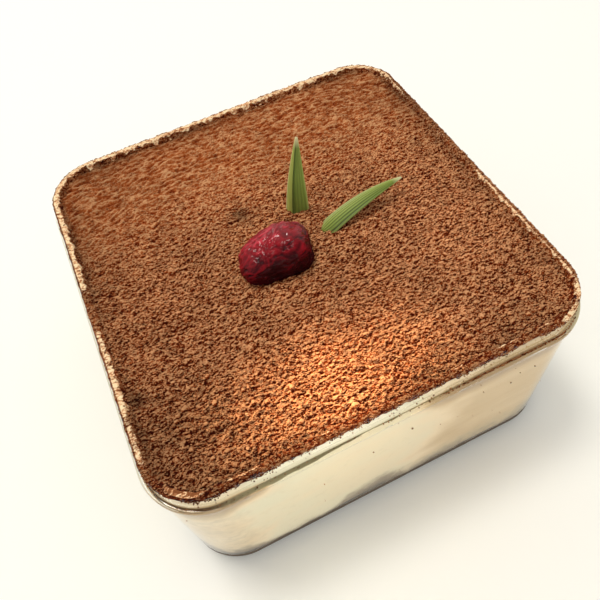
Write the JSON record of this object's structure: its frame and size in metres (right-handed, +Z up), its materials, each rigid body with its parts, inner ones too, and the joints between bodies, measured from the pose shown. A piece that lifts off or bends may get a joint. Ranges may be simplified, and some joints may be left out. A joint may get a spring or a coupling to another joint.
{
  "type": "tiramisu in a square tub",
  "caption": "Whole small tiramisu in its own square clear plastic tub: soaked sponge, mascarpone cream and a cocoa top with a red berry and leaf blades.",
  "frame": {"origin": "middle of the tub's underside", "axes": "+Z up out of the tub's mouth; the tub's sides are square to X and Y; -Y is the front, where the soaked sponge shows most"},
  "size_m": [0.121, 0.121, 0.0841],
  "materials": {
    "clear_plastic": "clear moulded plastic, glossy, dusted with cocoa at the rim",
    "soaked_sponge": "wet coffee-soaked sponge, soft grey brown",
    "mascarpone": "smooth whipped cream, ivory, faintly moist",
    "cocoa_powder": "dry granular powder, fully matt",
    "berry_skin": "wet wrinkled skin, glossy deep red",
    "leaf_dark": "fresh blade with fine lengthwise veins, satin",
    "leaf_light": "fresh pale blade with fine lengthwise veins, satin"
  },
  "bodies": {
    "root": {"tub": "clear_plastic", "sponge_base": "soaked_sponge", "cream": "mascarpone", "cocoa": "cocoa_powder", "red_berry": "berry_skin", "leaf_upright": "leaf_dark", "leaf_leaning": "leaf_light"}
  },
  "joints": []
}
